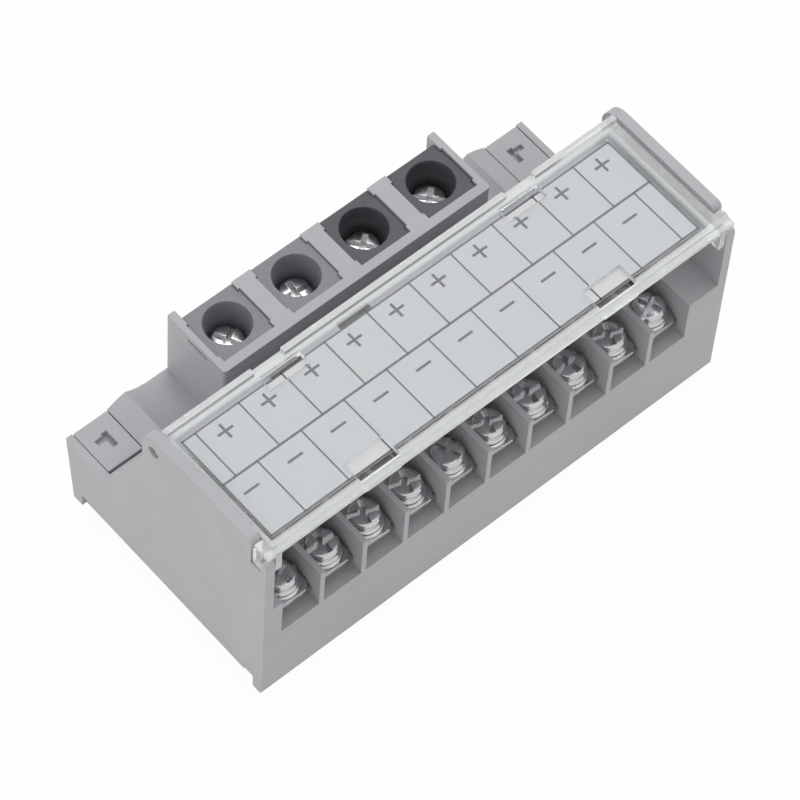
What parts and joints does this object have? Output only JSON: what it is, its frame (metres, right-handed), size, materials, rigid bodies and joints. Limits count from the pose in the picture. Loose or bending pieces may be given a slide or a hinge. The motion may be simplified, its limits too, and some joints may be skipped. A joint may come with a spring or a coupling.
{
  "type": "common terminal block",
  "caption": "Rail-mounted common terminal block: staggered screw-terminal rows under a hinged clear cover, with screw-clamp feed terminals in a raised block at the rear.",
  "frame": {"origin": "middle of the underside, at the level of the rail hooks", "axes": "+X along the rail to the right end, +Y to the rear feed side, +Z away from the rail"},
  "size_m": [0.081, 0.0406, 0.0374],
  "materials": {
    "housing": "satin moulded light grey",
    "insert_grey": "satin moulded mid grey",
    "insert_dark": "satin moulded near black",
    "plated_steel": "bright nickel plated steel",
    "plated_brass": "tin plated brass strip",
    "clear_cover": "clear polycarbonate",
    "label_card": "matt printed card",
    "lock": "satin moulded grey"
  },
  "bodies": {
    "base": {"base_housing": "housing", "feed_housing": "housing", "feed_insert_1": "insert_grey", "feed_insert_2": "insert_grey", "feed_insert_3": "insert_dark", "feed_insert_4": "insert_dark", "feed_cage_1": "plated_steel", "feed_cage_2": "plated_steel", "feed_cage_3": "plated_steel", "feed_cage_4": "plated_steel", "feed_screws": "plated_steel", "minus_bar": "plated_brass", "plus_bar": "plated_brass", "lower_screws": "plated_steel", "lower_spring_washers": "plated_steel", "lower_square_washers": "plated_steel", "upper_screws": "plated_steel", "upper_spring_washers": "plated_steel", "upper_square_washers": "plated_steel"},
    "cover": {"cover": "clear_cover", "label_sheet": "label_card"},
    "lock_left": {"rail_lock_left": "lock"},
    "lock_right": {"rail_lock_right": "lock"}
  },
  "joints": [
    {"name": "cover_hinge", "type": "hinge", "parent": "base", "child": "cover", "pos_m": [0, 0.002, 0.0342], "axis": [-1, 0, 0], "range_deg": [0, 105]},
    {"name": "lock_left_slide", "type": "slide", "parent": "base", "child": "lock_left", "axis": [0, 1, 0], "range_m": [0, 0.003]},
    {"name": "lock_right_slide", "type": "slide", "parent": "base", "child": "lock_right", "axis": [0, 1, 0], "range_m": [0, 0.003]}
  ]
}
